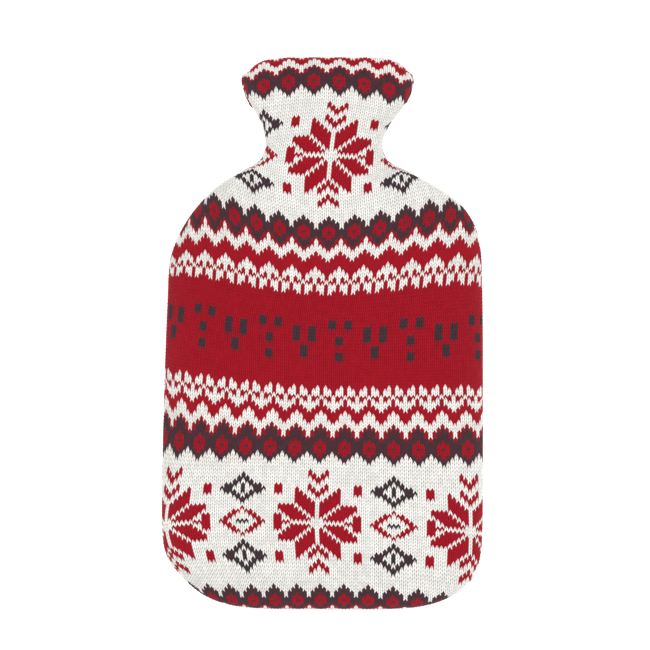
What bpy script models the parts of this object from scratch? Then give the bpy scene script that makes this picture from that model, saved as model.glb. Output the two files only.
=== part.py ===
"""Knitted cover of a two-litre hot water bottle, empty, lying on its back.

The cover is two cloth panels, a domed front and a flat back, joined by a seam round the
sides and the bottom and open at the neck. Both are open shells with a Solidify modifier.
Axes: +Y runs from the bottom to the neck mouth, +Z points out of the front, and the
origin is on the surface below the middle of the cover's box. Units are metres.
"""

import math
from functools import cache
from typing import NamedTuple

import bmesh
import bpy
import numpy as np

# Driving dimensions
SEAM_HEIGHT = 0.012          # the seam line, above the surface that the cover lies on
BODY_CROWN = 0.034           # highest line of the front over the body
NECK_CROWN = 0.029
COLLAR_CROWN = 0.031
CLOTH = 0.0025               # thickness of the knit
HEM_DEPTH = 0.018            # cloth folded inwards at the mouth
HEM_LAYERS = 2
SEAM_BAND = 0.003            # upright strip of each panel next to the seam
SEAM_GAP = 0.0003

# How the panels round over towards the seam
BODY_ROUNDING = 0.052
NECK_ROUNDING = 0.036
BACK_ROUNDING = 0.016
FRONT_SQUARENESS = 2.2       # exponent of the front's superellipse; 2 is an ellipse
BACK_SQUARENESS = 2.0

# Where along Y the neck turns into the shoulders, and the collar starts to flare
SHOULDER_Y = 0.055
NECK_Y = 0.105
COLLAR_Y = 0.140

# The bottom edge and the mouth bulge past the straight line between their corners
BOTTOM_BULGE = 0.01795
BOTTOM_SQUARENESS = 5.2
MOUTH_BULGE = 0.0085
MOUTH_SQUARENESS = 6.0

FRONT_COLUMNS = 22
FRONT_ROWS = 44
BACK_COLUMNS = 18
BACK_ROWS = 32
OUTLINE_STEPS = 12           # samples between two side points, for distances to the seam


class SidePair(NamedTuple):
    """A point on the left seam and its partner on the right seam."""

    left_x: float
    left_y: float
    right_x: float
    right_y: float


# Both seams from the middle of the bottom corners up to the mouth
SIDES = (
    SidePair(-0.0855, -0.1539, 0.0925, -0.1544),
    SidePair(-0.0965, -0.1399, 0.0980, -0.1409),
    SidePair(-0.1000, -0.1159, 0.0998, -0.1169),
    SidePair(-0.0987, -0.0409, 0.1000, -0.0459),
    SidePair(-0.0965, 0.0191, 0.0997, 0.0206),
    SidePair(-0.0945, 0.0471, 0.0981, 0.0555),
    SidePair(-0.0850, 0.0691, 0.0913, 0.0735),
    SidePair(-0.0688, 0.0885, 0.0788, 0.0860),
    SidePair(-0.0520, 0.0997, 0.0551, 0.0997),
    SidePair(-0.0395, 0.1071, 0.0410, 0.1071),
    SidePair(-0.0352, 0.1171, 0.0371, 0.1171),
    SidePair(-0.0380, 0.1311, 0.0415, 0.1291),
    SidePair(-0.0460, 0.1451, 0.0510, 0.1421),
    SidePair(-0.0495, 0.1571, 0.0560, 0.1551),
    SidePair(-0.0470, 0.1636, 0.0545, 0.1636),
)


def smoothstep(low: float, high: float, value: float) -> float:
    """Ease from 0 at low to 1 at high."""
    t = min(max((value - low) / (high - low), 0.0), 1.0)
    return t * t * (3.0 - 2.0 * t)


def dome(t: float, squareness: float) -> float:
    """Height of a quarter superellipse, 0 at the rim (t = 0) and 1 at its top (t >= 1)."""
    t = min(max(t, 0.0), 1.0)
    return (1.0 - (1.0 - t) ** squareness) ** (1.0 / squareness)


def side_points(along: float) -> np.ndarray:
    """Catmull-Rom point of both seams, as (left_x, left_y, right_x, right_y).

    Args:
        along: position in the SIDES table, from 0 at the bottom to its last index.
    """
    last = len(SIDES) - 1
    index = min(int(along), last - 1)
    t = along - index
    before, start, end, after = (
        np.array(SIDES[min(max(index + offset, 0), last)]) for offset in (-1, 0, 1, 2)
    )
    return 0.5 * (
        2.0 * start
        + (end - before) * t
        + (2.0 * before - 5.0 * start + 4.0 * end - after) * t**2
        + (3.0 * start - before - 3.0 * end + after) * t**3
    )


def edge_bulge(across: float, squareness: float) -> float:
    """Bulge of the bottom edge or the mouth, 0 at its corners and 1 in its middle."""
    return 1.0 - abs(2.0 * across - 1.0) ** squareness


@cache
def side_lengths() -> np.ndarray:
    """Length of the left seam from the bottom corner up to each of the SIDES points."""
    samples = np.array([
        side_points(step / OUTLINE_STEPS)
        for step in range((len(SIDES) - 1) * OUTLINE_STEPS + 1)
    ])
    steps = np.linalg.norm(np.diff(samples[:, :2], axis=0), axis=1)
    lengths = np.concatenate(([0.0], np.cumsum(steps)))
    return lengths[::OUTLINE_STEPS]


def plan_point(across: float, up: float) -> tuple[float, float]:
    """Place a point of the panel seen from above.

    Args:
        across: 0 at the left seam, 1 at the right seam.
        up: 0 at the bottom edge, 1 at the mouth, by length along the left seam.
    """
    lengths = side_lengths()
    along = float(np.interp(up * lengths[-1], lengths, np.arange(len(SIDES))))
    left_x, left_y, right_x, right_y = side_points(along)
    x = left_x + (right_x - left_x) * across
    y = left_y + (right_y - left_y) * across
    y -= (1.0 - up) ** 2 * BOTTOM_BULGE * edge_bulge(across, BOTTOM_SQUARENESS)
    y += up**2 * MOUTH_BULGE * edge_bulge(across, MOUTH_SQUARENESS)
    return x, y


@cache
def seam_outline() -> np.ndarray:
    """Points all along the seam, down the left side, round the bottom, up the right."""
    ups = np.linspace(0.0, 1.0, len(SIDES) * OUTLINE_STEPS)
    acrosses = np.linspace(0.0, 1.0, len(SIDES) * OUTLINE_STEPS)
    left = [plan_point(0.0, up) for up in ups[::-1]]
    bottom = [plan_point(across, 0.0) for across in acrosses]
    right = [plan_point(1.0, up) for up in ups]
    return np.array(left + bottom + right)


def seam_distance(x: float, y: float) -> float:
    """Distance in plan from a point to the nearest point of the seam."""
    outline = seam_outline()
    starts = outline[:-1]
    spans = np.diff(outline, axis=0)
    squared = np.maximum((spans**2).sum(axis=1), 1e-12)
    t = (((x, y) - starts) * spans).sum(axis=1) / squared
    nearest = starts + spans * np.clip(t, 0.0, 1.0)[:, None]
    return float(np.linalg.norm((x, y) - nearest, axis=1).min())


def front_height(x: float, y: float) -> float:
    """Height of the front panel's outer face over its upright seam band."""
    to_body = 1.0 - smoothstep(SHOULDER_Y, NECK_Y, y)
    to_collar = smoothstep(NECK_Y, COLLAR_Y, y)
    crown = NECK_CROWN + (BODY_CROWN - NECK_CROWN) * to_body + (COLLAR_CROWN - NECK_CROWN) * to_collar
    rounding = NECK_ROUNDING + (BODY_ROUNDING - NECK_ROUNDING) * to_body
    base = SEAM_HEIGHT + SEAM_GAP / 2 + SEAM_BAND
    return base + (crown - base) * dome(seam_distance(x, y) / rounding, FRONT_SQUARENESS)


def back_height(x: float, y: float) -> float:
    """Height of the back panel's outer face, 0 where it lies flat on the surface."""
    top = SEAM_HEIGHT - SEAM_GAP / 2 - SEAM_BAND
    return top * (1.0 - dome(seam_distance(x, y) / BACK_ROUNDING, BACK_SQUARENESS))


def row_positions(rows: int) -> list[float]:
    """Rows of a panel from 0 to 1, close together at the bottom, with two at the hem."""
    length = side_lengths()[-1]
    hem = 1.0 - HEM_DEPTH / length
    fold_in = hem - CLOTH / 4 / length
    body = [fold_in * (row / rows) ** 1.5 for row in range(rows + 1)]
    return body + [hem, (1.0 + hem) / 2, 1.0]


def make_panel(
    name: str,
    columns: int,
    rows: int,
    front: bool,
    material: bpy.types.Material,
) -> bpy.types.Object:
    """Build one panel as an open shell with the cloth's thickness laid inwards.

    Args:
        name: node name.
        columns: faces across.
        rows: faces from the bottom to the hem.
        front: True for the domed front, False for the flat back.
        material: the panel's material.
    """
    ups = row_positions(rows)
    hem_row = len(ups) - 3
    bm = bmesh.new()
    bmesh.ops.create_grid(bm, x_segments=columns, y_segments=len(ups) - 1, size=0.5)
    weights = bm.verts.layers.deform.verify()
    edge_height = SEAM_HEIGHT + (SEAM_GAP / 2 if front else -SEAM_GAP / 2)
    for vert in bm.verts:
        column = round((vert.co.x + 0.5) * columns)
        row = round((vert.co.y + 0.5) * (len(ups) - 1))
        across = 0.5 - 0.5 * math.cos(math.pi * column / columns)
        x, y = plan_point(across, ups[row])
        height = front_height(x, y) if front else back_height(x, y)
        vert.co = (x, y, height)
        vert[weights][0] = 1.0 if row >= hem_row else 1.0 / HEM_LAYERS
    mouth_y = min(SIDES[-1].left_y, SIDES[-1].right_y) - 1e-6
    seam_edges = [
        edge for edge in bm.edges
        if edge.is_boundary and not all(vert.co.y > mouth_y for vert in edge.verts)
    ]
    band = bmesh.ops.extrude_edge_only(bm, edges=seam_edges)
    for item in band["geom"]:
        if isinstance(item, bmesh.types.BMVert):
            item.co.z = edge_height
    bmesh.ops.recalc_face_normals(bm, faces=bm.faces)
    highest = max(bm.faces, key=lambda face: face.calc_center_median().z)
    lowest = min(bm.faces, key=lambda face: face.calc_center_median().z)
    faces_out = highest.normal.z > 0.0 if front else lowest.normal.z < 0.0
    if not faces_out:
        bmesh.ops.reverse_faces(bm, faces=bm.faces)
    mesh = bpy.data.meshes.new(name)
    bm.to_mesh(mesh)
    bm.free()
    mesh.shade_smooth()
    mesh.materials.append(material)
    panel = bpy.data.objects.new(name, mesh)
    group = panel.vertex_groups.new(name="cloth layers")
    collection.objects.link(panel)
    solidify = panel.modifiers.new("Cloth thickness", "SOLIDIFY")
    solidify.thickness = CLOTH * HEM_LAYERS
    solidify.vertex_group = group.name
    solidify.offset = -1.0
    solidify.use_even_offset = False
    return panel


def make_material(name: str, colour: tuple[float, float, float]) -> bpy.types.Material:
    """Plain matt wool of one linear colour."""
    material = bpy.data.materials.new(name)
    material.use_nodes = True
    shader = material.node_tree.nodes["Principled BSDF"]
    shader.inputs["Base Color"].default_value = (*colour, 1.0)
    shader.inputs["Roughness"].default_value = 0.9
    shader.inputs["Metallic"].default_value = 0.0
    return material


for existing in list(bpy.data.objects):
    bpy.data.objects.remove(existing, do_unlink=True)

collection = bpy.data.collections.new("Hot water bottle cover")
bpy.context.scene.collection.children.link(collection)
front_knit = make_material("Front knit", (0.43, 0.01, 0.025))
make_panel("front_panel", FRONT_COLUMNS, FRONT_ROWS, True, front_knit)
make_panel("back_panel", BACK_COLUMNS, BACK_ROWS, False, make_material("Back knit", (0.06, 0.06, 0.07)))
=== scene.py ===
"""Looks of a knitted cover for a hot water bottle, lying on its back.

Two panels of stranded knitting, cream, red and charcoal, are cut to the bottle's outline
and sewn together round the sides and the bottom. Every stitch is modelled: a lattice of
wales (columns) and courses (rows) is laid over each panel, and a charted pattern gives
each stitch its yarn. The stitches hang point up, because the cloth is used upside down.
"""

from __future__ import annotations

import logging
import math
from dataclasses import dataclass
from enum import Enum
from functools import cached_property
from typing import NamedTuple, Sequence

import bmesh
import bpy
import numpy as np
from mathutils import Matrix, Vector

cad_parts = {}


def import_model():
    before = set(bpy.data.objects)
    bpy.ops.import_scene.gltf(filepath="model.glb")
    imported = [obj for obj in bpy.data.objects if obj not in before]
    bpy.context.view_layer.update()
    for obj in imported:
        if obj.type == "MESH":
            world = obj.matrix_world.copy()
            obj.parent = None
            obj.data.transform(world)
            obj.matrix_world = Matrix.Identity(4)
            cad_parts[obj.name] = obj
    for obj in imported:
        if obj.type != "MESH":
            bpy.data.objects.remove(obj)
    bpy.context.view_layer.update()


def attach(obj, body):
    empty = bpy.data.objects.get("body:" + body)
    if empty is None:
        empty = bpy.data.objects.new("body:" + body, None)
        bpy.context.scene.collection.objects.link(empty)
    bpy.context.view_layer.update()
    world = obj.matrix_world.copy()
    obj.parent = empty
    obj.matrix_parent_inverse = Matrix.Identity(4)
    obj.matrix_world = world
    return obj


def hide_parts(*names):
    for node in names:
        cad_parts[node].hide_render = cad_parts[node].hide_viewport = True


LOG = logging.getLogger("bottle_cover")
MM = 0.001


class Yarn(Enum):
    """The three yarns of the pattern, by the number that a stitch's face carries."""

    CREAM = 0
    RED = 1
    CHARCOAL = 2


class Side(Enum):
    """Which panel of the cover is meant."""

    FRONT = "front_panel"
    BACK = "back_panel"


class Grain(Enum):
    """How finely a panel's lattice divides one stitch, as (across, along)."""

    KNIT_FACE = (4, 2)
    REVERSE = (2, 1)


# ---------------------------------------------------------------------------------------
# The cover's form
# ---------------------------------------------------------------------------------------


class SeamPair(NamedTuple):
    """A point of the left seam and its partner on the right seam, in metres."""

    left_x: float
    left_y: float
    right_x: float
    right_y: float


SEAM_POINTS = (
    SeamPair(-0.0855, -0.1539, 0.0925, -0.1544),
    SeamPair(-0.0965, -0.1399, 0.0980, -0.1409),
    SeamPair(-0.1000, -0.1159, 0.0998, -0.1169),
    SeamPair(-0.0987, -0.0409, 0.1000, -0.0459),
    SeamPair(-0.0965, 0.0191, 0.0997, 0.0206),
    SeamPair(-0.0945, 0.0471, 0.0981, 0.0555),
    SeamPair(-0.0850, 0.0691, 0.0913, 0.0735),
    SeamPair(-0.0688, 0.0885, 0.0788, 0.0860),
    SeamPair(-0.0520, 0.0997, 0.0551, 0.0997),
    SeamPair(-0.0395, 0.1071, 0.0410, 0.1071),
    SeamPair(-0.0352, 0.1171, 0.0371, 0.1171),
    SeamPair(-0.0380, 0.1311, 0.0415, 0.1291),
    SeamPair(-0.0460, 0.1451, 0.0510, 0.1421),
    SeamPair(-0.0495, 0.1571, 0.0560, 0.1551),
    SeamPair(-0.0470, 0.1636, 0.0545, 0.1636),
)


def smoothstep(low: float, high: float, value: np.ndarray) -> np.ndarray:
    """Ease from 0 at low to 1 at high."""
    t = np.clip((value - low) / (high - low), 0.0, 1.0)
    return t * t * (3.0 - 2.0 * t)


def superellipse(t: np.ndarray, squareness: float) -> np.ndarray:
    """Height of a quarter superellipse, 0 at its rim (t = 0) and 1 at its top (t >= 1)."""
    t = np.clip(t, 0.0, 1.0)
    return (1.0 - (1.0 - t) ** squareness) ** (1.0 / squareness)


@dataclass(frozen=True)
class CoverForm:
    """The outline and the section of the cover, in metres, as the solid frame has them.

    Attributes:
        seam_height: height of the seam over the surface that the cover lies on.
        body_crown: height of the front over the bottle's body.
        neck_crown: height of the front over the neck.
        collar_crown: height of the front at the flared mouth.
        cloth: thickness of one layer of the knit.
        band: upright strip of a panel next to the seam.
        gap: space between the two panels at the seam.
        body_rounding: distance over which the front rounds down to the seam at the body.
        neck_rounding: the same at the neck.
        back_rounding: the same on the back.
        front_squareness: exponent of the front's rounding.
        back_squareness: exponent of the back's rounding.
        shoulder_y: where the body's crown starts to fall.
        neck_y: where the neck is lowest.
        collar_y: where the collar is at its height.
        bottom_bulge: how far the bottom seam bows down.
        bottom_squareness: exponent of that bow.
        mouth_bulge: how far the mouth's edge bows up.
        mouth_squareness: exponent of that bow.
        samples: points between two rows of the seam table.
        at_seam: distance within which a point counts as lying on the seam.
        batch: points whose nearest seam point is found at once.
    """

    seam_height: float = 0.012
    body_crown: float = 0.034
    neck_crown: float = 0.029
    collar_crown: float = 0.031
    cloth: float = 0.0025
    band: float = 0.003
    gap: float = 0.0003
    body_rounding: float = 0.052
    neck_rounding: float = 0.036
    back_rounding: float = 0.016
    front_squareness: float = 2.2
    back_squareness: float = 2.0
    shoulder_y: float = 0.055
    neck_y: float = 0.105
    collar_y: float = 0.140
    bottom_bulge: float = 0.01795
    bottom_squareness: float = 5.2
    mouth_bulge: float = 0.0085
    mouth_squareness: float = 6.0
    samples: int = 12
    at_seam: float = 0.0003
    batch: int = 4000

    @cached_property
    def seams(self) -> np.ndarray:
        """Catmull-Rom samples of both seams from the bottom corners up, one row each."""
        table = np.array(SEAM_POINTS)
        last = len(table) - 1
        rows = []
        for step in range(last * self.samples + 1):
            index = min(step // self.samples, last - 1)
            t = step / self.samples - index
            before, start, end, after = (
                table[min(max(index + offset, 0), last)] for offset in (-1, 0, 1, 2)
            )
            rows.append(
                0.5
                * (
                    2.0 * start
                    + (end - before) * t
                    + (2.0 * before - 5.0 * start + 4.0 * end - after) * t**2
                    + (3.0 * start - before - 3.0 * end + after) * t**3
                )
            )
        return np.array(rows)

    @cached_property
    def outline(self) -> np.ndarray:
        """The seam line in plan, down the left side, round the bottom and up the right."""
        left_x, left_y, right_x, right_y = self.seams[0]
        across = np.linspace(0.0, 1.0, 16 * self.samples)
        bulge = self.bottom_bulge * (1.0 - np.abs(2.0 * across - 1.0) ** self.bottom_squareness)
        bottom = np.column_stack((
            left_x + (right_x - left_x) * across,
            left_y + (right_y - left_y) * across - bulge,
        ))
        return np.vstack((self.seams[::-1, :2], bottom[1:-1], self.seams[:, 2:]))

    def mouth_y(self, x: np.ndarray) -> np.ndarray:
        """Find the mouth's edge in plan.

        Args:
            x: positions across the cover.

        Returns:
            The edge's Y for each X.
        """
        left_x, left_y, right_x, _ = SEAM_POINTS[-1]
        across = np.clip((x - left_x) / (right_x - left_x), 0.0, 1.0)
        bulge = 1.0 - np.abs(2.0 * across - 1.0) ** self.mouth_squareness
        return left_y + self.mouth_bulge * bulge

    def from_mouth_corner(self, x: np.ndarray) -> np.ndarray:
        """Distance across the mouth from its nearer corner, for each X."""
        left_x, _, right_x, _ = SEAM_POINTS[-1]
        return np.minimum(x - left_x, right_x - x)

    def rounding(self, side: Side, y: np.ndarray) -> np.ndarray:
        """Find how far from the seam a panel rounds over.

        Args:
            side: front or back panel.
            y: positions along the cover.

        Returns:
            The distance in plan for each Y.
        """
        if side is Side.BACK:
            return np.full_like(y, self.back_rounding)
        to_body = 1.0 - smoothstep(self.shoulder_y, self.neck_y, y)
        return self.neck_rounding + (self.body_rounding - self.neck_rounding) * to_body

    def height(self, side: Side, depth: np.ndarray, y: np.ndarray) -> np.ndarray:
        """Height of a panel's outer face.

        Args:
            side: front or back panel.
            depth: distance in plan from the seam, inwards.
            y: position along the cover.

        Returns:
            Z of the face over the surface that the cover lies on.
        """
        t = depth / self.rounding(side, y)
        if side is Side.BACK:
            top = self.seam_height - self.gap / 2 - self.band
            return top * (1.0 - superellipse(t, self.back_squareness))
        to_body = 1.0 - smoothstep(self.shoulder_y, self.neck_y, y)
        to_collar = smoothstep(self.neck_y, self.collar_y, y)
        crown = (
            self.neck_crown
            + (self.body_crown - self.neck_crown) * to_body
            + (self.collar_crown - self.neck_crown) * to_collar
        )
        base = self.seam_height + self.gap / 2 + self.band
        return base + (crown - base) * superellipse(t, self.front_squareness)

    def seam_frame(self, points: np.ndarray) -> tuple[np.ndarray, np.ndarray, np.ndarray]:
        """Find the nearest seam point of each plan point.

        Args:
            points: plan points, one row each.

        Returns:
            Signed distances (positive inside), nearest points, and unit vectors inwards.
        """
        starts = self.outline[:-1]
        spans = np.diff(self.outline, axis=0)
        squared = (spans**2).sum(axis=1)
        normals = np.column_stack((-spans[:, 1], spans[:, 0])) / np.sqrt(squared)[:, None]
        distance = np.empty(len(points))
        nearest = np.empty_like(points)
        inward = np.empty_like(points)
        for first in range(0, len(points), self.batch):
            part = points[first : first + self.batch]
            offset = part[:, None, :] - starts[None]
            t = np.clip((offset * spans).sum(axis=2) / squared, 0.0, 1.0)
            away = offset - t[..., None] * spans
            lengths = np.sqrt((away**2).sum(axis=2))
            best = lengths.argmin(axis=1)
            rows = np.arange(len(part))
            away = away[rows, best]
            length = lengths[rows, best]
            side = np.sign((away * normals[best]).sum(axis=1))
            side[side == 0] = 1.0
            close = length < self.at_seam
            direction = away * (side / np.maximum(length, 1e-9))[:, None]
            direction[close] = normals[best[close]]
            distance[first : first + self.batch] = length * side
            nearest[first : first + self.batch] = part - away
            inward[first : first + self.batch] = direction
        return distance, nearest, inward


# ---------------------------------------------------------------------------------------
# The pattern
# ---------------------------------------------------------------------------------------


class Star(NamedTuple):
    """Sizes of the eight-petalled star, in stitches from its centre."""

    petal_from: int = 1
    petal_to: int = 5
    petal_run: int = 4
    side_block_from: int = 9
    side_block_to: int = 10
    side_block_half: int = 2
    dot_from: int = 9
    dot_to: int = 11
    crown_half: int = 2
    crowns_above: tuple[int, ...] = (8, 12)
    crowns_below: tuple[int, ...] = (7, 11)


class ZigzagColumn(NamedTuple):
    """One column of the zigzag band, in courses away from a star's centre.

    The cream panel ends at cream_above or cream_below, the charcoal band at dark_to. The
    cream zigzag lies a little differently above and below a star.
    """

    step: int
    cream_above: int
    cream_below: int
    dark_to: int
    above_from: int
    above_to: int
    below_from: int
    below_to: int


@dataclass(frozen=True)
class Chart:
    """The knitting chart, worked out from its motifs.

    Courses count from a star's centre. A panel of stars on cream ends 18 courses away, a
    zigzag band follows up to course 41, and a red ground with charcoal blocks lies
    halfway between two rows of stars. The whole repeats every 113 courses.
    """

    course_repeat: int = 113
    star_repeat: int = 36
    zigzag_repeat: int = 6
    block_repeat: int = 18
    panel_end: int = 18
    band_end: int = 41
    dark_diamond_up: int = 10
    star: Star = Star()
    zigzag_rows: tuple[ZigzagColumn, ...] = (
        ZigzagColumn(0, 17, 17, 28, 30, 33, 30, 32),
        ZigzagColumn(1, 18, 18, 27, 29, 32, 29, 31),
        ZigzagColumn(2, 19, 19, 25, 28, 30, 28, 30),
        ZigzagColumn(3, 20, 21, 24, 26, 29, 26, 29),
    )

    def yarns(self, wale: np.ndarray, course: np.ndarray) -> np.ndarray:
        """Give the yarn number of each stitch.

        Args:
            wale: column of each stitch, 0 on the cover's middle star.
            course: row of each stitch, 0 on the centre of the lower star.

        Returns:
            A Yarn's value for each stitch.
        """
        phase = np.mod(course, self.course_repeat)
        out = np.minimum(phase, self.course_repeat - phase)
        signed = np.where(phase > self.course_repeat / 2, phase - self.course_repeat, phase)
        yarn = np.full(wale.shape, Yarn.CREAM.value)
        half_star = self.star_repeat // 2
        star_wale = np.mod(wale + half_star, self.star_repeat) - half_star
        diamond_wale = np.mod(wale, self.star_repeat) - half_star
        panel = out < self.panel_end
        yarn[panel & self._star(np.abs(star_wale), signed)] = Yarn.RED.value
        diamond = self._diamond_column(np.abs(diamond_wale), signed)
        yarn = np.where(panel & (diamond >= 0), diamond, yarn)
        half_zigzag = self.zigzag_repeat // 2
        step = np.abs(np.mod(wale + half_zigzag, self.zigzag_repeat) - half_zigzag)
        band = (out >= self.panel_end) & (out <= self.band_end + (signed < 0))
        yarn = np.where(band, self._zigzag(step, signed), yarn)
        ground = out > self.band_end + (signed < 0)
        half_block = self.block_repeat // 2
        blocks = self._blocks(np.mod(wale + half_block, self.block_repeat) - half_block, phase)
        return np.where(ground, np.where(blocks, Yarn.CHARCOAL.value, Yarn.RED.value), yarn)

    def floats_red(self, course: np.ndarray) -> np.ndarray:
        """Find where a red strand floats behind the stitches and shows between them.

        Args:
            course: row of each stitch.

        Returns:
            1 where it does and 0 elsewhere.
        """
        phase = np.mod(course, self.course_repeat)
        out = np.minimum(phase, self.course_repeat - phase)
        return ((out >= self.panel_end) & (out <= self.band_end + 1)).astype(float)

    def _star(self, across: np.ndarray, signed: np.ndarray) -> np.ndarray:
        """Red stitches of the star.

        Args:
            across: wales from the star's middle, without sign.
            signed: courses above the star's middle.

        Returns:
            True for each red stitch.
        """
        star = self.star
        up = np.abs(signed)
        upright = (across >= star.petal_from) & (across <= star.petal_to)
        upright &= (up > across) & (up <= across + star.petal_run + 1)
        level = (up >= star.petal_from) & (up < star.petal_to)
        level &= (across > up) & (across <= up + star.petal_run + 1)
        level |= (up == star.petal_to) & (across > up) & (across < up + star.petal_run + 1)
        block = (across >= star.side_block_from) & (across <= star.side_block_to)
        side = block & (up <= star.side_block_half)
        spur = (up == 0) & (across >= star.side_block_from - 2) & (across < star.side_block_from)
        dots = block & (up >= star.dot_from) & (up <= star.dot_to)
        crown = np.zeros(across.shape, dtype=bool)
        for tiers, on_side in ((star.crowns_above, signed > 0), (star.crowns_below, signed < 0)):
            for tier in tiers:
                rows = (up >= tier + across) & (up <= tier + across + 1)
                crown |= on_side & (across <= star.crown_half) & rows
        return upright | level | side | spur | dots | crown

    def _diamond_column(self, across: np.ndarray, signed: np.ndarray) -> np.ndarray:
        """Yarns of the red diamond and the two charcoal ones beside a star.

        Args:
            across: wales from the column's middle, without sign.
            signed: courses above the star's middle.

        Returns:
            A Yarn's value for each stitch of a diamond, and -1 elsewhere.
        """
        up = np.abs(signed)
        dark_up = np.abs(up - self.dark_diamond_up)
        dark = self._ring(across, dark_up, 2) | ((across == 0) & (dark_up <= 1))
        red = self._ring(across, up, 3)
        dash = (up == 0) & (across <= 1)
        yarn = np.full(across.shape, -1)
        yarn[red] = Yarn.RED.value
        yarn[dash] = Yarn.CHARCOAL.value
        yarn[dark & (up >= self.dark_diamond_up // 2)] = Yarn.CHARCOAL.value
        return yarn

    def _ring(self, across: np.ndarray, up: np.ndarray, hollow: int) -> np.ndarray:
        """Outline of a diamond, two stitches thick, with a long point at either side.

        Args:
            across: wales from the diamond's middle, without sign.
            up: courses from the diamond's middle, without sign.
            hollow: reach of the cream inside.

        Returns:
            True for each stitch of the outline.
        """
        reach = across + up
        outline = (reach <= hollow + 2) & (up <= 4) & ~((across == 1) & (up == 4))
        point = (across >= 4) & (reach <= 5)
        return (outline | point) & (reach > hollow)

    def _zigzag(self, step: np.ndarray, signed: np.ndarray) -> np.ndarray:
        """Yarns of the band of diamonds, zigzags and lattice.

        Args:
            step: wales from the nearest diamond's middle, 0 to 3.
            signed: courses above the star's centre, 18 to 41 away from it.

        Returns:
            A Yarn's value for each stitch.
        """
        out = np.abs(signed)
        above = signed > 0
        yarn = np.full(step.shape, Yarn.RED.value)
        for row in self.zigzag_rows:
            column = step == row.step
            yarn[column & (out <= row.dark_to)] = Yarn.CHARCOAL.value
            panel = out <= np.where(above, row.cream_above, row.cream_below)
            upper = above & (out >= row.above_from) & (out <= row.above_to)
            lower = ~above & (out >= row.below_from) & (out <= row.below_to)
            yarn[column & (panel | upper | lower)] = Yarn.CREAM.value
        from_diamond = np.abs(out - np.where(above, 22, 23))
        yarn[(step < 2) & (step + from_diamond <= 2)] = Yarn.RED.value
        yarn[(step == 0) & (from_diamond == 0)] = Yarn.CHARCOAL.value
        level = out - np.where(above, 0, 1)
        lattice = (step == 3) & (level >= 34) & (level <= 38)
        lattice |= (step == 2) & np.isin(level, (35, 36, 39, 40))
        lattice |= (step == 1) & np.isin(level, (36, 37, 39, 40, 41))
        lattice |= (step == 0) & (level == 38)
        yarn[lattice] = Yarn.CREAM.value
        return yarn

    def _blocks(self, wale: np.ndarray, phase: np.ndarray) -> np.ndarray:
        """Charcoal blocks on the red ground: a V of three, then a Y of four.

        Args:
            wale: columns from the middle of a repeat.
            phase: courses above the centre of the star below.

        Returns:
            True for each charcoal stitch.
        """
        v_arms = np.isin(wale, (-7, -6, -3, -2)) & (phase >= 56) & (phase <= 60)
        v_foot = np.isin(wale, (-5, -4)) & (phase >= 51) & (phase <= 54)
        y_arms = np.isin(wale, (2, 3, 6, 7)) & (phase >= 60) & (phase <= 62)
        y_stem = np.isin(wale, (4, 5)) & np.isin(phase, (50, 51, 52, 55, 56, 57))
        return v_arms | v_foot | y_arms | y_stem


# ---------------------------------------------------------------------------------------
# How the knit lies
# ---------------------------------------------------------------------------------------


class CourseLine(NamedTuple):
    """Where one course lies on the cover, at five wales, in millimetres.

    The cloth was cut and pulled over the bottle, so courses bow at the shoulders and
    wales lean a little towards the neck.
    """

    course: float
    x: tuple[float, float, float, float, float]
    y: tuple[float, float, float, float, float]


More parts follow.
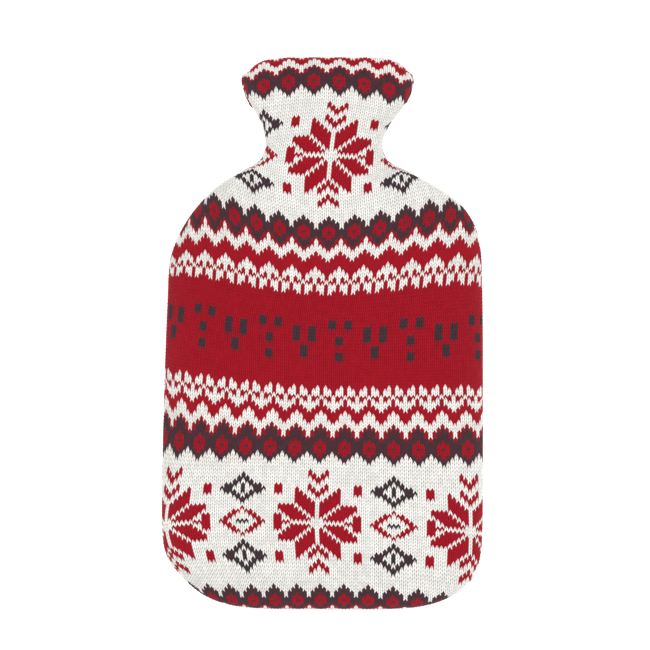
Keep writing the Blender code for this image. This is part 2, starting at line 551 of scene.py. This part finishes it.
NET_WALES = (-36.0, -18.0, 0.0, 18.0, 36.0)
COURSE_LINES = (
    CourseLine(-50.0, (-86.5, -44.5, -1.5, 44.0, 93.0), (-213.0, -213.0, -213.0, -215.0, -223.0)),
    CourseLine(-18.0, (-86.5, -44.5, -1.5, 44.0, 93.0), (-159.0, -158.3, -158.2, -160.0, -169.0)),
    CourseLine(-10.0, (-93.3, -48.5, -2.5, 44.2, 93.5), (-142.6, -138.5, -139.9, -141.0, -147.5)),
    CourseLine(0.0, (-100.5, -50.0, -3.5, 44.5, 94.0), (-120.0, -117.0, -118.4, -120.5, -124.0)),
    CourseLine(10.0, (-96.7, -49.6, -2.8, 44.5, 93.4), (-98.3, -96.7, -97.6, -99.7, -102.3)),
    CourseLine(18.0, (-92.0, -48.5, -2.0, 44.5, 92.5), (-77.0, -79.0, -80.0, -81.5, -82.0)),
    CourseLine(42.0, (-87.5, -44.5, -0.5, 44.0, 89.5), (-23.0, -29.0, -32.5, -32.5, -32.0)),
    CourseLine(58.0, (-84.0, -43.5, -0.5, 44.0, 88.5), (10.5, 3.0, -1.0, -1.0, 1.0)),
    CourseLine(71.0, (-81.0, -40.5, 2.0, 46.5, 90.5), (36.5, 29.5, 25.0, 28.0, 31.5)),
    CourseLine(83.0, (-79.5, -40.3, 3.5, 49.5, 93.5), (61.5, 54.6, 49.5, 54.5, 59.8)),
    CourseLine(95.0, (-82.0, -42.0, 4.0, 52.0, 93.0), (91.1, 79.1, 71.5, 78.8, 85.0)),
    CourseLine(104.0, (-85.0, -44.6, 3.4, 49.6, 92.0), (104.0, 99.1, 89.5, 99.1, 101.0)),
    CourseLine(113.0, (-89.5, -43.6, 5.2, 51.5, 98.0), (114.0, 110.5, 110.7, 107.5, 112.0)),
    CourseLine(122.0, (-86.0, -39.5, 7.8, 55.0, 101.0), (124.5, 126.0, 130.7, 122.0, 118.0)),
    CourseLine(131.0, (-84.0, -37.0, 10.5, 57.5, 104.0), (137.5, 146.2, 148.6, 138.5, 124.5)),
    CourseLine(135.0, (-84.0, -37.0, 10.5, 57.5, 104.0), (144.5, 154.4, 157.0, 147.7, 133.5)),
    CourseLine(147.0, (-84.0, -37.0, 11.0, 57.5, 104.0), (160.5, 170.0, 172.0, 164.5, 149.5)),
    CourseLine(175.0, (-84.0, -37.0, 11.0, 57.5, 104.0), (216.5, 226.0, 228.0, 220.5, 205.5)),
)


@dataclass(frozen=True)
class Drape:
    """Lays stitch coordinates on a panel.

    Attributes:
        form: the cover's form.
        side: the panel that is covered.
        fold_radius: radius of the cloth's soft turn at the mouth.
        fold_at_seam: the same where the two panels are sewn together.
        fold_reach: distance from the seam at which the turn has its full radius.
    """

    form: CoverForm
    side: Side
    fold_radius: float = 0.005
    fold_at_seam: float = 0.00015
    fold_reach: float = 0.009

    def plan(self, wale: np.ndarray, course: np.ndarray) -> np.ndarray:
        """Place stitch coordinates in plan, before the cloth is rounded over the edges.

        Args:
            wale: columns, in stitches from the middle.
            course: rows, in stitches from the lower star's centre.

        Returns:
            Plan points, one row each.
        """
        levels = np.array([line.course for line in COURSE_LINES])
        nodes = np.array(NET_WALES)
        weights = np.ones((len(nodes), len(wale)))
        for i, node in enumerate(nodes):
            for other in np.delete(nodes, i):
                weights[i] *= (wale - other) / (node - other)
        index = np.clip(np.searchsorted(levels, course, side="right") - 1, 0, len(levels) - 2)
        span = levels[index + 1] - levels[index]
        t = (course - levels[index]) / span
        basis = (
            (1.0 + 2.0 * t) * (1.0 - t) ** 2,
            t * (1.0 - t) ** 2 * span,
            t**2 * (3.0 - 2.0 * t),
            t**2 * (t - 1.0) * span,
        )
        placed = []
        table_y = np.array([line.y for line in COURSE_LINES])
        for values in (np.array([line.x for line in COURSE_LINES]), table_y):
            slopes = np.gradient(values, levels, axis=0)
            rows = (values[index], slopes[index], values[index + 1], slopes[index + 1])
            along = sum(part[:, None] * row for part, row in zip(basis, rows))
            placed.append((along * weights.T).sum(axis=1) * MM)
        return np.column_stack(placed)

    @cached_property
    def arc_table(self) -> tuple[np.ndarray, np.ndarray]:
        """Depth in plan and length over the cloth from the seam band, per unit of rounding."""
        depth = np.linspace(0.0, 1.0, 400) ** 2
        y = np.zeros_like(depth)
        rounding = float(self.form.rounding(self.side, y)[0])
        height = self.form.height(self.side, depth * rounding, y) / rounding
        length = np.concatenate(([0.0], np.cumsum(np.hypot(np.diff(depth), np.diff(height)))))
        return depth, length

    def lay(self, wale: np.ndarray, course: np.ndarray) -> tuple[np.ndarray, np.ndarray]:
        """Place stitch coordinates on the panel's outer face.

        Args:
            wale: columns, in stitches from the middle.
            course: rows, in stitches from the lower star's centre.

        Returns:
            3D points, and how far over the cloth each is from the seam band's top. Points
            that would lie past the seam are on it.
        """
        form = self.form
        points = self.plan(wale, course)
        radius = self.turn_radius(form.from_mouth_corner(points[:, 0]))
        turn_start = form.mouth_y(points[:, 0]) - radius
        past = np.maximum(points[:, 1] - turn_start, 0.0)
        angle = np.minimum(past / radius, math.pi)
        points[:, 1] = np.minimum(points[:, 1], turn_start)
        points[:, 1] -= np.maximum(past - math.pi * radius, 0.0)
        distance, nearest, inward = form.seam_frame(points)
        rounding = form.rounding(self.side, points[:, 1])
        depth_table, length_table = self.arc_table
        over = distance / rounding + length_table[-1] - 1.0
        depth = np.interp(over, length_table, depth_table) * rounding
        depth = np.where(over >= length_table[-1], distance, depth)
        drop = np.clip(-over * rounding, 0.0, form.band)
        flat = nearest + inward * depth[:, None]
        turned_in = self.turn_radius(over * rounding) * (1.0 - np.cos(angle))
        z = form.height(self.side, depth, flat[:, 1])
        z += (drop + turned_in) if self.side is Side.BACK else -(drop + turned_in)
        placed = np.column_stack((flat[:, 0], flat[:, 1] + radius * np.sin(angle), z))
        return placed, over * rounding

    def turn_radius(self, from_seam: np.ndarray) -> np.ndarray:
        """Radius of the cloth's turn at the mouth, small where the panels are sewn."""
        ease = smoothstep(-self.form.band, self.fold_reach, from_seam)
        return self.fold_at_seam + (self.fold_radius - self.fold_at_seam) * ease


# ---------------------------------------------------------------------------------------
# Materials
# ---------------------------------------------------------------------------------------


def linear(hex_colour: str) -> tuple[float, float, float, float]:
    """Turn an sRGB hex colour into linear RGBA."""
    channels = (int(hex_colour[i : i + 2], 16) / 255.0 for i in (1, 3, 5))
    return (*((c / 12.92 if c <= 0.04045 else ((c + 0.055) / 1.055) ** 2.4) for c in channels), 1.0)


def add_node(
    tree: bpy.types.NodeTree,
    kind: str,
    settings: dict[str, object] | None = None,
    inputs: dict[str | int, object] | None = None,
) -> bpy.types.Node:
    """Add a node, with its settings, socket values and links.

    Args:
        tree: node tree that gets the node.
        kind: the node's type name.
        settings: attributes set on the node.
        inputs: a value, or an output socket to link, for each named or numbered input.

    Returns:
        The new node.
    """
    node = tree.nodes.new(kind)
    for name, value in (settings or {}).items():
        setattr(node, name, value)
    for name, value in (inputs or {}).items():
        if isinstance(value, bpy.types.NodeSocket):
            tree.links.new(value, node.inputs[name])
        else:
            node.inputs[name].default_value = value
    return node


def new_tree(name: str) -> tuple[bpy.types.Material, bpy.types.NodeTree]:
    """Make an empty node material.

    Args:
        name: the material's name.

    Returns:
        The material and its node tree.
    """
    material = bpy.data.materials.new(name)
    material.use_nodes = True
    material.node_tree.nodes.clear()
    return material, material.node_tree


@dataclass(frozen=True)
class WoolKnit:
    """Stranded knitting in soft acrylic and wool yarn.

    Spun yarn has no gloss, a faint halo of fibres at grazing angles, and small changes of
    tone from one stitch to the next. Between the stitches the cloth has painted shade: a darker
    copy of each yarn, mixed with the red of a float where one shows behind.
    """

    name: str = "Stranded wool knit"
    cream: str = "#FDFBF6"
    red: str = "#AE1024"
    charcoal: str = "#46343A"
    # Painted shade: darker copies of cream, red and charcoal for the grooves and holes between
    # stitches.
    cream_painted_shade: str = "#4A4042"
    red_painted_shade: str = "#220408"
    charcoal_painted_shade: str = "#120B0D"
    # The red strand floating behind shows in the holes; its colour here is that real red with
    # painted shade.
    float_painted_shade: str = "#5E101C"
    ply_turns: float = 3.0
    roughness: float = 0.88

    def build(self) -> bpy.types.Material:
        """Build the node material."""
        material, tree = new_tree(self.name)
        yarn = add_node(tree, "ShaderNodeAttribute", {"attribute_name": "yarn"})
        tone = add_node(tree, "ShaderNodeAttribute", {"attribute_name": "tone"})
        relief = add_node(tree, "ShaderNodeAttribute", {"attribute_name": "relief"})
        above = {"operation": "GREATER_THAN"}
        is_dyed = add_node(tree, "ShaderNodeMath", above, {0: yarn.outputs["Fac"], 1: 0.5})
        is_dark = add_node(tree, "ShaderNodeMath", above, {0: yarn.outputs["Fac"], 1: 1.5})
        lit = self._pick(tree, (self.cream, self.red, self.charcoal), is_dyed, is_dark)
        # Painted shade colour of each stitch's own yarn.
        painted_shades = (self.cream_painted_shade, self.red_painted_shade, self.charcoal_painted_shade)
        own_painted_shade = self._pick(tree, painted_shades, is_dyed, is_dark)
        # Where a red float shows behind, the painted shade between the stitches takes its darkened
        # red.
        behind = add_node(tree, "ShaderNodeAttribute", {"attribute_name": "behind"})
        painted_shade_colour = add_node(
            tree,
            "ShaderNodeMix",
            {"data_type": "RGBA"},
            {"Factor": behind.outputs["Fac"], 6: own_painted_shade, 7: linear(self.float_painted_shade)},
        ).outputs[2]
        # Painted shade by relief: low points between the stitches take the shade colour, the legs
        # the lit colour.
        lit_by_relief = add_node(
            tree,
            "ShaderNodeMapRange",
            {"interpolation_type": "SMOOTHSTEP"},
            {"Value": relief.outputs["Fac"], "From Min": 0.0, "From Max": 0.6},
        )
        fibres = add_node(
            tree,
            "ShaderNodeTexNoise",
            None,
            {"Scale": 3500.0, "Detail": 2.0, "Roughness": 0.6},
        )
        place = add_node(tree, "ShaderNodeTexCoord")
        tree.links.new(place.outputs["Object"], fibres.inputs["Vector"])
        mixed = add_node(
            tree,
            "ShaderNodeMix",
            {"data_type": "RGBA"},
            {"Factor": lit_by_relief.outputs["Result"], 6: painted_shade_colour, 7: lit},
        )
        value = add_node(
            tree,
            "ShaderNodeMapRange",
            None,
            {"Value": tone.outputs["Fac"], "To Min": 0.90, "To Max": 1.06},
        )
        fleck = add_node(
            tree,
            "ShaderNodeMapRange",
            None,
            {
                "Value": fibres.outputs["Fac"],
                "From Min": 0.3,
                "From Max": 0.7,
                "To Min": 0.90,
                "To Max": 1.07,
            },
        )
        both = add_node(
            tree,
            "ShaderNodeMath",
            {"operation": "MULTIPLY"},
            {0: value.outputs["Result"], 1: fleck.outputs["Result"]},
        )
        toned = add_node(
            tree,
            "ShaderNodeHueSaturation",
            None,
            {"Value": both.outputs["Value"], "Color": mixed.outputs[2]},
        )
        height = self._ply(tree, fibres)
        bump = add_node(
            tree,
            "ShaderNodeBump",
            None,
            {"Strength": 0.6, "Distance": 0.25 * MM, "Height": height},
        )
        shader = add_node(
            tree,
            "ShaderNodeBsdfPrincipled",
            None,
            {
                "Base Color": toned.outputs["Color"],
                "Roughness": self.roughness,
                "Specular IOR Level": 0.12,
                "Sheen Weight": 0.04,
                "Sheen Roughness": 0.5,
                "Normal": bump.outputs["Normal"],
            },
        )
        add_node(tree, "ShaderNodeOutputMaterial", None, {"Surface": shader.outputs["BSDF"]})
        return material

    def _pick(
        self,
        tree: bpy.types.NodeTree,
        colours: Sequence[str],
        is_dyed: bpy.types.Node,
        is_dark: bpy.types.Node,
    ) -> bpy.types.NodeSocket:
        """Choose cream, red or charcoal by the stitch's yarn.

        Args:
            tree: node tree of the material.
            colours: hex colours of cream, red and charcoal, lit or in painted shade.
            is_dyed: node that gives 1 on red and charcoal.
            is_dark: node that gives 1 on charcoal.

        Returns:
            The socket with the chosen colour.
        """
        cream, red, charcoal = (linear(colour) for colour in colours)
        dyed = add_node(
            tree,
            "ShaderNodeMix",
            {"data_type": "RGBA"},
            {"Factor": is_dark.outputs["Value"], 6: red, 7: charcoal},
        )
        chosen = add_node(
            tree,
            "ShaderNodeMix",
            {"data_type": "RGBA"},
            {"Factor": is_dyed.outputs["Value"], 6: cream, 7: dyed.outputs[2]},
        )
        return chosen.outputs[2]

    def _ply(self, tree: bpy.types.NodeTree, fibres: bpy.types.Node) -> bpy.types.NodeSocket:
        """Draw the yarn's twisted plies along each leg of a stitch.

        Args:
            tree: node tree of the material.
            fibres: node with the noise of single fibres.

        Returns:
            The socket with the surface's height.
        """
        place = add_node(tree, "ShaderNodeUVMap", {"uv_map": "Stitches"})
        split = add_node(tree, "ShaderNodeSeparateXYZ", None, {"Vector": place.outputs["UV"]})
        turns = add_node(
            tree,
            "ShaderNodeMath",
            {"operation": "MULTIPLY_ADD"},
            {0: split.outputs["Y"], 1: self.ply_turns, 2: split.outputs["X"]},
        )
        angle = add_node(
            tree,
            "ShaderNodeMath",
            {"operation": "MULTIPLY"},
            {0: turns.outputs["Value"], 1: math.tau},
        )
        wave = add_node(tree, "ShaderNodeMath", {"operation": "SINE"}, {0: angle.outputs["Value"]})
        rough = add_node(
            tree,
            "ShaderNodeMath",
            {"operation": "MULTIPLY_ADD"},
            {0: fibres.outputs["Fac"], 1: 2.0, 2: wave.outputs["Value"]},
        )
        return rough.outputs["Value"]


@dataclass(frozen=True)
class SewingThread:
    """Spun polyester thread, matt with a slight sheen."""

    name: str
    colour: str

    def build(self) -> bpy.types.Material:
        """Build the node material."""
        material, tree = new_tree(self.name)
        place = add_node(tree, "ShaderNodeTexCoord")
        twist = add_node(
            tree,
            "ShaderNodeTexNoise",
            None,
            {"Vector": place.outputs["Object"], "Scale": 2500.0, "Detail": 1.0},
        )
        tint = add_node(
            tree,
            "ShaderNodeMapRange",
            None,
            {"Value": twist.outputs["Fac"], "To Min": 0.75, "To Max": 1.25},
        )
        colour = add_node(
            tree,
            "ShaderNodeHueSaturation",
            None,
            {"Value": tint.outputs["Result"], "Color": linear(self.colour)},
        )
        shader = add_node(
            tree,
            "ShaderNodeBsdfPrincipled",
            None,
            {"Base Color": colour.outputs["Color"], "Roughness": 0.6, "Sheen Weight": 0.1},
        )
        add_node(tree, "ShaderNodeOutputMaterial", None, {"Surface": shader.outputs["BSDF"]})
        return material


@dataclass(frozen=True)
class PaintedFloor:
    """A plain white light table, which keeps contact shadows faint."""

    name: str = "Opal light table"
    colour: str = "#FAFAFA"
    glow: float = 0.45

    def build(self) -> bpy.types.Material:
        """Build the node material."""
        material, tree = new_tree(self.name)
        shader = add_node(
            tree,
            "ShaderNodeBsdfPrincipled",
            None,
            {
                "Base Color": linear(self.colour),
                "Roughness": 0.9,
                "Specular IOR Level": 0.1,
                "Emission Color": linear(self.colour),
                "Emission Strength": self.glow,
            },
        )
        add_node(tree, "ShaderNodeOutputMaterial", None, {"Surface": shader.outputs["BSDF"]})
        return material


# ---------------------------------------------------------------------------------------
# Sub-assemblies
# ---------------------------------------------------------------------------------------


def link_piece(name: str, mesh: bpy.types.Mesh, material: bpy.types.Material) -> bpy.types.Object:
    """Put a finished mesh in the scene, dressed and riding on the cover.

    Args:
        name: the piece's name.
        mesh: its finished mesh.
        material: its only material.

    Returns:
        The new piece.
    """
    mesh.materials.clear()
    mesh.materials.append(material)
    piece = bpy.data.objects.new(name, mesh)
    bpy.context.scene.collection.objects.link(piece)
    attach(piece, "root")
    LOG.info("%s: %d faces", name, len(mesh.polygons))
    return piece


@dataclass
class KnitPanel:
    """One panel of the cover, stitch by stitch.

    Attributes:
        form: the cover's form.
        side: front or back.
        chart: the knitting chart.
        first_wale: leftmost column of the lattice.
        last_wale: rightmost column of the lattice.
        first_course: lowest row, past the bottom seam.
        last_course: highest row, inside the mouth's hem.
        neck_course: lowest row of the neck's piece.
        point_rise: half the rise from a stitch's feet to its point, in courses.
        relief: depth of the grooves between the wales.
        sliver: length below which an edge is closed up.
    """

    form: CoverForm
    side: Side
    chart: Chart
    first_wale: int = -48
    last_wale: int = 46
    first_course: int = -36
    last_course: int = 158
    neck_course: int = 93
    point_rise: float = 0.52
    relief: float = 0.0006
    sliver: float = 0.00002

    def build(self, material: bpy.types.Material) -> list[bpy.types.Object]:
        """Build the panel's pieces and hide the frame's own panel.

        Args:
            material: the knit's material.

        Returns:
            The body's face, the neck's face with its hem, and the reverse.
        """
        first, last, neck = self.first_course, self.last_course, self.neck_course
        pieces = []
        for part, grain, low, high in (
            ("body", Grain.KNIT_FACE, first, neck - 1),
            ("neck", Grain.KNIT_FACE, neck, last),
            ("reverse", Grain.REVERSE, first, last),
        ):
            name = f"{self.side.value}_{part}"
            mesh = self._lattice(grain, name, low, high)
            piece = link_piece(name, mesh, material)
            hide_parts(self.side.value)
            pieces.append(piece)
        return pieces

    def _lattice(self, grain: Grain, name: str, first: int, last: int) -> bpy.types.Mesh:
        """Make a part of the panel on the stitch lattice.

        Args:
            grain: how finely each stitch is divided.
            name: the mesh's name.
            first: the part's lowest course.
            last: the part's highest course.

        Returns:
            The finished mesh.
        """
        inset = self.form.cloth if grain is Grain.REVERSE else 0.0
        across, along = grain.value
        columns = (self.last_wale - self.first_wale + 1) * across
        rows = (last - first + 1) * along
        bm = bmesh.new()
        bmesh.ops.create_grid(bm, x_segments=columns, y_segments=rows, size=0.5)
        mesh = bpy.data.meshes.new(name)
        bm.to_mesh(mesh)
        bm.free()
        corner = self._read(mesh.vertices, "co", 3)[:, :2] + 0.5
        middle = self._read(mesh.polygons, "center", 3)[:, :2] + 0.5
        wale = self.first_wale - 0.5 + np.round(corner[:, 0] * columns) / across
        course = first - 0.5 + np.round(corner[:, 1] * rows) / along
        face_wale = self.first_wale + np.floor(middle[:, 0] * columns / across)
        face_course = first + np.floor(middle[:, 1] * rows / along)
        in_stitch = wale + 0.5 - np.floor(wale + 0.5)
        rise = self.point_rise * (1.0 - 4.0 * np.abs(in_stitch - 0.5))
        drape = Drape(self.form, self.side)
        points, from_seam = drape.lay(wale, course + rise)
        clamped = from_seam <= -self.form.band
        self._write(mesh, points)
        normals = self._read(mesh.vertex_normals, "vector", 3)
        if self.side is Side.BACK:
            normals = -normals
        relief = self._relief(in_stitch, course - np.floor(course + 0.5) + 0.5)
        behind = np.minimum(inset, 0.5 * drape.turn_radius(from_seam))
        sunk = np.where(clamped, 0.0, self.relief * (1.0 - relief) + behind)
        self._write(mesh, points - normals * sunk[:, None])
        self._dress(mesh, corner, wale, course, relief, face_wale, face_course)
        flip = (self.side is Side.BACK) != (inset > 0.0)
        self._trim(mesh, clamped, flip)
        return mesh

    def _relief(self, across: np.ndarray, along: np.ndarray) -> np.ndarray:
        """Height of a stitch's surface, 0 in the groove between wales and 1 on a leg.

        Args:
            across: position in the stitch's width, 0 to 1.
            along: position in its course, 0 to 1.

        Returns:
            The height, from 0 to 1, at each point.
        """
        from_point = np.abs(across - 0.5)
        swell = np.sin(math.pi * along)
        leg = 0.72 + 0.28 * swell
        split = 0.5 - 0.42 * swell
        between = 0.08 + 0.34 * swell
        to_leg = np.sin(math.tau * across) ** 2
        groove = np.where(from_point < 0.25, split, between)
        return groove + (leg - groove) * to_leg

    def _dress(
        self,
        mesh: bpy.types.Mesh,
        corner: np.ndarray,
        wale: np.ndarray,
        course: np.ndarray,
        relief: np.ndarray,
        face_wale: np.ndarray,
        face_course: np.ndarray,
    ) -> None:
        """Store the yarn, the tone, the relief and two UV maps on the lattice.

        Args:
            mesh: the lattice.
            corner: each vertex's place on the lattice, 0 to 1.
            wale: each vertex's column.
            course: each vertex's row.
            relief: each vertex's height, 0 to 1.
            face_wale: the column of each face's stitch.
            face_course: the row of each face's stitch.
        """
        yarn = self.chart.yarns(face_wale, face_course)
        tone = np.mod(np.sin(face_wale * 12.9898 + face_course * 78.233) * 43758.5453, 1.0)
        for name, domain, values in (
            ("yarn", "FACE", yarn),
            ("behind", "FACE", self.chart.floats_red(face_course)),
            ("tone", "FACE", tone),
            ("relief", "POINT", relief),
        ):
            layer = mesh.attributes.new(name, "FLOAT", domain)
            layer.data.foreach_set("value", values.astype(np.float32))
        corners = np.empty(len(mesh.loops), dtype=np.int32)
        mesh.loops.foreach_get("vertex_index", corners)
        for name, uv in (("OFBake", corner), ("Stitches", np.column_stack((wale, course)))):
            layer = mesh.uv_layers.new(name=name)
            layer.uv.foreach_set("vector", uv[corners].astype(np.float32).ravel())

    def _trim(self, mesh: bpy.types.Mesh, clamped: np.ndarray, flip: bool) -> None:
        """Cut away the cloth past the seam and turn the faces outwards.

        Args:
            mesh: the lattice.
            clamped: True for each vertex at the seam's edge or past it.
            flip: whether the faces have to be turned over.
        """
        bm = bmesh.new()
        bm.from_mesh(mesh)
        bm.verts.ensure_lookup_table()
        past = [face for face in bm.faces if all(clamped[vert.index] for vert in face.verts)]
        bmesh.ops.delete(bm, geom=past, context="FACES")
        bmesh.ops.dissolve_degenerate(bm, edges=bm.edges, dist=self.sliver)
        if flip:
            bmesh.ops.reverse_faces(bm, faces=bm.faces)
        bm.to_mesh(mesh)
        bm.free()
        mesh.shade_smooth()

    @staticmethod
    def _read(items: bpy.types.bpy_prop_collection, name: str, width: int) -> np.ndarray:
        """Read a vector of every item into one array.

        Args:
            items: vertices, faces or normals of a mesh.
            name: the vector's property.
            width: how many numbers it has.

        Returns:
            One row for each item.
        """
        values = np.empty(len(items) * width, dtype=np.float32)
        items.foreach_get(name, values)
        return values.reshape(-1, width).astype(float)

    @staticmethod
    def _write(mesh: bpy.types.Mesh, points: np.ndarray) -> None:
        """Move every vertex of a mesh."""
        mesh.vertices.foreach_set("co", points.astype(np.float32).ravel())
        mesh.update()


@dataclass
class HemStitches:
    """The running stitches that hold the turned hem of the mouth, on the front.

    Attributes:
        form: the cover's form.
        course: the row of the knit that the stitches follow.
        wales: the columns between which the thread shows.
        stitches: how many stitches there are.
        shown: part of each stitch's pitch that lies on the face.
        thread: radius of the thread.
    """

    form: CoverForm
    course: float = 134.6
    wales: tuple[float, float] = (-13.0, 8.0)
    stitches: int = 14
    shown: float = 0.7
    thread: float = 0.00016

    def build(self, material: bpy.types.Material) -> bpy.types.Object:
        """Lay the stitches one after the other along the course.

        Args:
            material: the thread's material.

        Returns:
            The piece.
        """
        edges = np.linspace(*self.wales, self.stitches + 1)
        starts = edges[:-1]
        ends = starts + self.shown * np.diff(edges)
        level = np.full(self.stitches, self.course)
        drape = Drape(self.form, Side.FRONT)
        first, _ = drape.lay(starts, level)
        last, _ = drape.lay(ends, level)
        bm = bmesh.new()
        for start, end in zip(map(Vector, first), map(Vector, last)):
            along = end - start
            turn = along.to_track_quat("Z", "Y").to_matrix().to_4x4()
            bmesh.ops.create_cone(
                bm,
                cap_ends=True,
                segments=8,
                radius1=self.thread,
                radius2=self.thread,
                depth=along.length,
                matrix=Matrix.Translation((start + end) / 2.0) @ turn,
            )
        mesh = bpy.data.meshes.new("hem_stitches")
        bm.to_mesh(mesh)
        bm.free()
        return link_piece("hem_stitches", mesh, material)


@dataclass
class SideSeam:
    """The overlocked seam that joins the panels round the sides and the bottom.

    Attributes:
        form: the cover's form.
        pitch: distance between two loops of thread.
        reach: radius of a loop round the two cloth edges.
        thread: radius of the thread.
        inset: distance of a loop's middle inside the panels' edges.
        lean: how far a loop leans along the seam.
        facets: faces round the thread.
        bends: steps that a loop is bent in.
        look_ahead: distance over which the seam's direction is taken.
    """

    form: CoverForm
    pitch: float = 0.0022
    reach: float = 0.0008
    thread: float = 0.00018
    inset: float = 0.0007
    lean: float = 0.0009
    facets: int = 6
    bends: int = 7
    look_ahead: float = 0.0005

    def build(self, material: bpy.types.Material) -> bpy.types.Object:
        """Build one loop and repeat it along the seam.

        Args:
            material: the thread's material.

        Returns:
            The piece.
        """
        loop = self._loop()
        outline = self.form.outline
        steps = np.linalg.norm(np.diff(outline, axis=0), axis=1)
        lengths = np.concatenate(([0.0], np.cumsum(steps)))
        count = int(lengths[-1] / self.pitch)
        bm = bmesh.new()
        for index in range(1, count):
            run = (index * self.pitch, index * self.pitch + self.look_ahead)
            at, ahead = np.column_stack([np.interp(run, lengths, column) for column in outline.T])
            along = Vector((*(ahead - at), 0.0)).normalized()
            outward = Vector((along.y, -along.x, 0.0))
            turn = Matrix((outward, along, Vector((0.0, 0.0, 1.0)))).transposed().to_4x4()
            known = len(bm.verts)
            bm.from_mesh(loop)
            bm.verts.ensure_lookup_table()
            place = Matrix.Translation((at[0], at[1], self.form.seam_height)) @ turn
            bmesh.ops.transform(bm, matrix=place, verts=bm.verts[known:])
        bpy.data.meshes.remove(loop)
        mesh = bpy.data.meshes.new("side_seam")
        bm.to_mesh(mesh)
        bm.free()
        mesh.shade_smooth()
        return link_piece("side_seam", mesh, material)

    def _loop(self) -> bpy.types.Mesh:
        """Bend a thin ring round the cloth edges, open on the inner side.

        Returns:
            The loop's mesh.
        """
        bm = bmesh.new()
        ring = bmesh.ops.create_circle(bm, segments=self.facets, radius=self.thread)
        upright = Matrix.Rotation(math.pi / 2, 4, "Y")
        start = Matrix.Translation((-self.inset, 0.0, self.reach)) @ upright
        bmesh.ops.transform(bm, matrix=start, verts=ring["verts"])
        edges = list(bm.edges)
        bmesh.ops.spin(
            bm,
            geom=edges + ring["verts"],
            cent=(-self.inset, 0.0, 0.0),
            axis=(0.0, 1.0, 0.0),
            dvec=(0.0, self.lean / self.bends, 0.0),
            angle=math.pi,
            steps=self.bends,
        )
        bmesh.ops.recalc_face_normals(bm, faces=bm.faces)
        mesh = bpy.data.meshes.new("loop")
        bm.to_mesh(mesh)
        bm.free()
        return mesh


@dataclass
class Studio:
    """Floor, camera and soft light.

    Attributes:
        field: width that the camera sees.
        aim: point of the cover's plan in the middle of the view.
        eye_height: height of the camera.
        floor_size: half the floor's width.
        floor_drop: depth of the floor below the cloth.
        daylight: strength of the light from all around.
    """

    field: float = 0.405
    aim: tuple[float, float] = (0.0016, 0.0050)
    eye_height: float = 1.2
    floor_size: float = 3.0
    floor_drop: float = 0.0003
    daylight: float = 1.12

    def build(self) -> None:
        """Build the whole stage."""
        self._floor()
        self._camera()
        self._lights()

    def _floor(self) -> None:
        """Lay a plain floor under the cover."""
        bm = bmesh.new()
        bmesh.ops.create_grid(bm, x_segments=1, y_segments=1, size=self.floor_size)
        bmesh.ops.translate(bm, vec=(0.0, 0.0, -self.floor_drop), verts=bm.verts)
        mesh = bpy.data.meshes.new("floor")
        bm.to_mesh(mesh)
        bm.free()
        mesh.materials.append(PaintedFloor().build())
        floor = bpy.data.objects.new("floor", mesh)
        bpy.context.scene.collection.objects.link(floor)

    def _camera(self) -> None:
        """Look straight down on the cover, with the neck at the top."""
        camera = bpy.data.cameras.new("camera")
        camera.type = "ORTHO"
        camera.ortho_scale = self.field
        eye = bpy.data.objects.new("camera", camera)
        eye.location = (*self.aim, self.eye_height)
        bpy.context.scene.collection.objects.link(eye)
        bpy.context.scene.camera = eye

    def _lights(self) -> None:
        """Light the cover from a wide soft box above and from all around."""
        for name, place, size, power in (
            ("soft_box", (0.15, 0.35, 1.3), 1.2, 5.0),
            ("fill_box", (-0.7, -0.5, 1.1), 1.0, 2.0),
        ):
            light = bpy.data.lights.new(name, "AREA")
            light.size = size
            light.energy = power
            lamp = bpy.data.objects.new(name, light)
            lamp.location = place
            lamp.rotation_euler = (-Vector(place)).to_track_quat("-Z", "Y").to_euler()
            bpy.context.scene.collection.objects.link(lamp)
        world = bpy.data.worlds.new("studio")
        world.use_nodes = True
        background = world.node_tree.nodes["Background"]
        background.inputs["Color"].default_value = (1.0, 1.0, 1.0, 1.0)
        background.inputs["Strength"].default_value = self.daylight
        bpy.context.scene.world = world
        bpy.context.scene.view_settings.view_transform = "Standard"


def main() -> None:
    """Load the frame, build the cover around it and set up the stage."""
    logging.basicConfig(level=logging.INFO, format="%(message)s")
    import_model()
    form = CoverForm()
    chart = Chart()
    knit = WoolKnit().build()
    for side in Side:
        panel = KnitPanel(form, side, chart)
        body, neck, reverse = panel.build(knit)
    SideSeam(form).build(SewingThread("Overlock thread", "#4A3D52").build())
    HemStitches(form).build(SewingThread("Hem thread", "#241E22").build())
    Studio().build()


if __name__ == "__main__":
    main()
